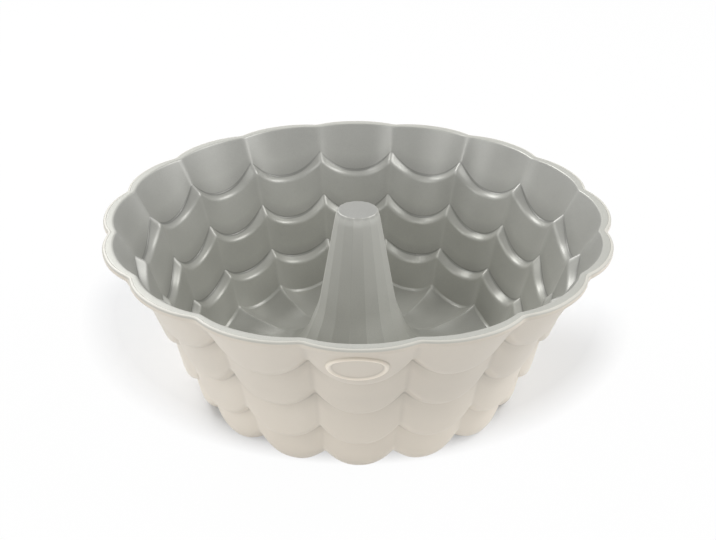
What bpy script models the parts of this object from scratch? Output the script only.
"""Tiered ring-cake mould with sixteen lobes.

One aluminium casting of even wall, a release lining over its whole inside and rim,
and a baked enamel coat over its whole outside.  The rim land is at the top, the
flutes of the floor rest on Z = 0, and a lobe is centred on +X.
"""
import math

import bmesh
import bpy
import numpy as np

# Overall form, in metres
LOBES = 16
RIM_LOBE_RADIUS = 0.1250
RIM_CUSP_RADIUS = 0.1210
LAND_LOBE_WIDTH = 0.0059
LAND_CUSP_WIDTH = 0.0043
FLUTE_DEPTH = 0.0915

# The layers, from the cavity outwards
LINING = 0.0003
CASTING = 0.0017
ENAMEL = 0.0003
GAP = 0.0003

# One row per step of the wall, from the rim down.  First at the middle of a lobe, then
# at the cusp between two lobes: corner radius, corner depth, ledge width, ledge drop.
STEPS = (
    ((0.1087, 0.0257, 0.0033, 0.0014), (0.1102, 0.0130, 0.0057, 0.0042)),
    ((0.0982, 0.0484, 0.0038, 0.0017), (0.0994, 0.0359, 0.0043, 0.0052)),
    ((0.0905, 0.0704, 0.0047, 0.0024), (0.0904, 0.0616, 0.0042, 0.0033)),
)
STEP_CHAMFER = 0.0010

# Floor: corner at the foot of the wall, then the flutes and the ridges between them
FOOT_LOBE = (0.0826, 0.0910)
FOOT_CUSP = (0.0816, 0.0834)
FOOT_CHAMFER = 0.0026
REST_OUTER_RADIUS = 0.0760
REST_INNER_RADIUS = 0.0510
RIDGE_OUTER_DEPTH = 0.0855
RIDGE_INNER_DEPTH = 0.0886
REST_SHARE = 0.55

# Centre tube: radius and depth of its ridges, and how far its facets lie below them
TUBE = (
    (0.0380, 0.0845, 0.0025),
    (0.0280, 0.0738, 0.0010),
    (0.0206, 0.0550, 0.0),
)
CAP_RADIUS = 0.0108

# Curve of a lobe: powers of the half width for the plan and for the drop of the edges
PLAN_POWER = 2.25
DROP_POWER = 2.25
COLUMNS = (-1.0, -0.55, 0.0, 0.55)

# Lip: chamfer under the enamelled edge of the rim
LIP_CHAMFER = 0.0007

WALL = LINING + GAP + CASTING + GAP + ENAMEL
HEIGHT = FLUTE_DEPTH + WALL
HALF_LOBE = math.pi / LOBES
WELD = 0.00001

FINISHES = {
    "cast_body": ((0.66, 0.66, 0.65, 1.0), 1.0, 0.42),
    "release_lining": ((0.45, 0.45, 0.42, 1.0), 0.6, 0.36),
    "enamel_coat": ((0.62, 0.54, 0.46, 1.0), 0.0, 0.38),
}


def clear_scene():
    """Remove whatever the file starts with."""
    for item in list(bpy.data.objects):
        bpy.data.objects.remove(item, do_unlink=True)


def new_collection(name):
    """Add a collection to the scene."""
    group = bpy.data.collections.new(name)
    bpy.context.scene.collection.children.link(group)
    return group


def finish_material(name):
    """Principled material for one layer."""
    color, metallic, roughness = FINISHES[name]
    material = bpy.data.materials.new(name)
    material.use_nodes = True
    shader = material.node_tree.nodes["Principled BSDF"]
    shader.inputs["Base Color"].default_value = color
    shader.inputs["Metallic"].default_value = metallic
    shader.inputs["Roughness"].default_value = roughness
    material.diffuse_color = color
    return material


def corner(before, point, after, cut):
    """The two points that chamfer a profile corner, at `cut` along each side."""
    before, point, after = (np.array(p, float) for p in (before, point, after))
    back = (before - point) / np.linalg.norm(before - point)
    ahead = (after - point) / np.linalg.norm(after - point)
    return [tuple(point + cut * back), tuple(point + cut * ahead)]


def wall_profile(side, rim, foot, floor):
    """Radius and depth down the cavity's wall, at the lobe (side 0) or the cusp (side 1)."""
    points = [rim]
    for step in STEPS:
        radius, depth, width, drop = step[side]
        points += [(radius, depth), (radius - width, depth + drop)]
    points += [foot, floor]
    profile = [rim]
    for index in range(1, len(points) - 2, 2):
        profile += corner(*points[index - 1:index + 2], STEP_CHAMFER)
        profile.append(points[index + 1])
    return profile + corner(points[-3], foot, floor, FOOT_CHAMFER)


def cavity_profiles():
    """The lobe and cusp profiles of the cavity, and which of their rows lie on the rest flats."""
    lobe_rest = (REST_OUTER_RADIUS, FLUTE_DEPTH)
    cusp_rest = (REST_OUTER_RADIUS, RIDGE_OUTER_DEPTH)
    lobe = [(RIM_LOBE_RADIUS, 0.0)]
    cusp = [(RIM_CUSP_RADIUS, 0.0)]
    lobe += wall_profile(0, (RIM_LOBE_RADIUS - LAND_LOBE_WIDTH, 0.0), FOOT_LOBE, lobe_rest)
    cusp += wall_profile(1, (RIM_CUSP_RADIUS - LAND_CUSP_WIDTH, 0.0), FOOT_CUSP, cusp_rest)
    rest_rows = (len(lobe), len(lobe) + 1)
    lobe += [lobe_rest, (REST_INNER_RADIUS, FLUTE_DEPTH)]
    cusp += [cusp_rest, (REST_INNER_RADIUS, RIDGE_INNER_DEPTH)]
    facet = math.cos(HALF_LOBE)
    for radius, depth, sag in TUBE + ((CAP_RADIUS, 0.0, 0.0),):
        lobe.append((radius * facet, depth + sag))
        cusp.append((radius, depth))
    return lobe, cusp, rest_rows


def ring_row(lobe, cusp, share):
    """One ring of points through the lobes' middles and the cusps, flat over `share`."""
    span = cusp[0] * math.cos(HALF_LOBE)
    turn = np.arange(LOBES) * 2.0 * HALF_LOBE
    half = np.abs(np.array(COLUMNS))
    flat = np.clip((half - share) / (1.0 - share), 0.0, 1.0)
    out = span + (lobe[0] - span) * (1.0 - half ** PLAN_POWER)
    along = np.array(COLUMNS) * cusp[0] * math.sin(HALF_LOBE)
    height = HEIGHT - lobe[1] + (lobe[1] - cusp[1]) * flat ** DROP_POWER
    x = np.outer(np.cos(turn), out) - np.outer(np.sin(turn), along)
    y = np.outer(np.sin(turn), out) + np.outer(np.cos(turn), along)
    z = np.broadcast_to(height, x.shape)
    return np.stack([x.ravel(), y.ravel(), z.ravel()], axis=1)


def cavity_grid():
    """Rings of points over the whole cavity, from the rim's edge to the cap of the tube."""
    lobe, cusp, rest_rows = cavity_profiles()
    rows = [ring_row(a, b, REST_SHARE if i in rest_rows else 0.0)
            for i, (a, b) in enumerate(zip(lobe, cusp))]
    return np.array(rows), rest_rows


def cell_triangles(column, reversed_rows=False):
    """Corner offsets (row, column) of the two triangles of a cell, mirrored about the lobe."""
    first_half = column % len(COLUMNS) < len(COLUMNS) // 2
    if first_half != reversed_rows:
        return ((0, 0), (1, 0), (1, 1)), ((0, 0), (1, 1), (0, 1))
    return ((0, 0), (1, 0), (0, 1)), ((1, 0), (1, 1), (0, 1))


def sink(grid, depth):
    """Move a grid of rings `depth` into the wall, keeping that distance to every facet."""
    rows, count = grid.shape[:2]
    normals = [[[] for _ in range(count)] for _ in range(rows)]
    for row in range(rows - 1):
        for column in range(count):
            for triangle in cell_triangles(column):
                spots = [(row + r, (column + c) % count) for r, c in triangle]
                a, b, c = (grid[spot] for spot in spots)
                normal = np.cross(b - a, c - a)
                normal /= np.linalg.norm(normal)
                for spot in spots:
                    normals[spot[0]][spot[1]].append(normal)
    moved = grid.copy()
    for row in range(rows):
        for column in range(count):
            facing = np.array(normals[row][column])
            moved[row, column] += depth * np.linalg.pinv(facing, rcond=0.12).sum(axis=1)
    return moved


def inset(ring, distance):
    """Move a ring of points inwards in plan, keeping `distance` to each of its edges."""
    plan = ring[:, :2]
    edge = np.roll(plan, -1, axis=0) - plan
    edge /= np.linalg.norm(edge, axis=1)[:, None]
    inward = np.stack([-edge[:, 1], edge[:, 0]], axis=1)
    before = np.roll(inward, 1, axis=0)
    share = 1.0 + (inward * before).sum(axis=1)
    moved = ring.copy()
    moved[:, :2] += distance * (inward + before) / share[:, None]
    return moved


def at_depth(ring, depth):
    """A copy of a ring at `depth` below the rim land."""
    moved = ring.copy()
    moved[:, 2] = HEIGHT - depth
    return moved


def surface_at(grid, rest_rows, depth):
    """The surface `depth` inside the wall, with its lip row level and its rest flats flat."""
    moved = sink(grid, depth)
    moved[0] = at_depth(grid[0], depth)
    moved[1, :, 2] = HEIGHT - depth
    moved[-1, :, 2] = HEIGHT - depth
    flat = [c for c in range(moved.shape[1]) if c % len(COLUMNS) != 0]
    for row in rest_rows:
        moved[row, flat, 2] = HEIGHT - FLUTE_DEPTH - depth
    return moved


def lining_faces(grid, rest_rows):
    """The lining's rings: its cavity face and its hidden face, ending inside the enamelled lip."""
    outline = inset(grid[0], ENAMEL + GAP)
    face = grid.copy()
    face[0] = outline
    hidden = surface_at(grid, rest_rows, LINING)
    hidden[0] = at_depth(outline, LINING)
    return face, [], hidden


def casting_faces(grid, rest_rows):
    """The casting's rings: its faces to the two coats, ending inside the enamelled lip."""
    top = LINING + GAP
    bottom = WALL - ENAMEL - GAP
    upper = surface_at(grid, rest_rows, top)
    lower = surface_at(grid, rest_rows, bottom)
    outline = inset(grid[0], ENAMEL + GAP)
    upper[0] = at_depth(outline, top)
    waist = at_depth(outline, bottom - LIP_CHAMFER)
    lower[0] = at_depth(inset(outline, LIP_CHAMFER), bottom)
    return upper, [waist], lower


def enamel_faces(grid, rest_rows):
    """The enamel's rings: its inner face, the edge of the lip up to the land, its outer face."""
    inner = surface_at(grid, rest_rows, WALL - ENAMEL)
    outer = surface_at(grid, rest_rows, WALL)
    inside = inset(grid[0], ENAMEL)
    inner[0] = at_depth(inset(inside, LIP_CHAMFER), WALL - ENAMEL)
    outer[0] = at_depth(inset(grid[0], LIP_CHAMFER), WALL)
    edge = [at_depth(inside, WALL - ENAMEL - LIP_CHAMFER), inside,
            grid[0], at_depth(grid[0], WALL - LIP_CHAMFER)]
    return inner, edge, outer


def lobe_mesh(name, faces):
    """Mesh of one lobe's share of a closed layer, with its ends at the centre line."""
    cavity_side, edge, outer_side = faces
    rings = list(cavity_side[::-1]) + list(edge) + list(outer_side)
    width = len(COLUMNS) + 1
    mesh = bmesh.new()
    table = [[mesh.verts.new(ring[c]) for c in range(width)] for ring in rings]
    for index, pair in enumerate(zip(table, table[1:])):
        for column in range(width - 1):
            for triangle in cell_triangles(column, index < len(cavity_side) - 1):
                mesh.faces.new([pair[r][column + c] for r, c in triangle])
    for ring, rising in ((table[0], True), (table[-1], False)):
        pole = mesh.verts.new((0.0, 0.0, ring[0].co.z))
        for a, b in zip(ring, ring[1:]):
            mesh.faces.new((a, b, pole) if rising else (b, a, pole))
    data = bpy.data.meshes.new(name)
    mesh.to_mesh(data)
    mesh.free()
    return data


def add_layer(name, faces, group, step):
    """Repeat one lobe of a layer round the centre line and join the lobes to one body."""
    layer = bpy.data.objects.new(name, lobe_mesh(name, faces))
    layer.data.materials.append(finish_material(name))
    group.objects.link(layer)
    repeat = layer.modifiers.new("Lobes", "ARRAY")
    repeat.count = LOBES
    repeat.use_relative_offset = False
    repeat.use_object_offset = True
    repeat.offset_object = step
    repeat.use_merge_vertices = True
    repeat.use_merge_vertices_cap = True
    repeat.merge_threshold = WELD
    joint = layer.modifiers.new("Centre", "WELD")
    joint.merge_threshold = WELD
    return layer


def turn_guide(group):
    """The guide that gives the Array its turn from one lobe to the next."""
    guide = bpy.data.objects.new("lobe_turn", None)
    guide.rotation_euler = (0.0, 0.0, 2.0 * HALF_LOBE)
    guide.hide_render = True
    group.objects.link(guide)
    return guide


def main():
    clear_scene()
    mould = new_collection("ring_cake_mould")
    guides = new_collection("guides")
    step = turn_guide(guides)
    grid, rest_rows = cavity_grid()
    layers = {
        "cast_body": casting_faces(grid, rest_rows),
        "release_lining": lining_faces(grid, rest_rows),
        "enamel_coat": enamel_faces(grid, rest_rows),
    }
    for name, faces in layers.items():
        add_layer(name, faces, mould, step)
    bpy.context.view_layer.update()


if __name__ == "__main__":
    main()
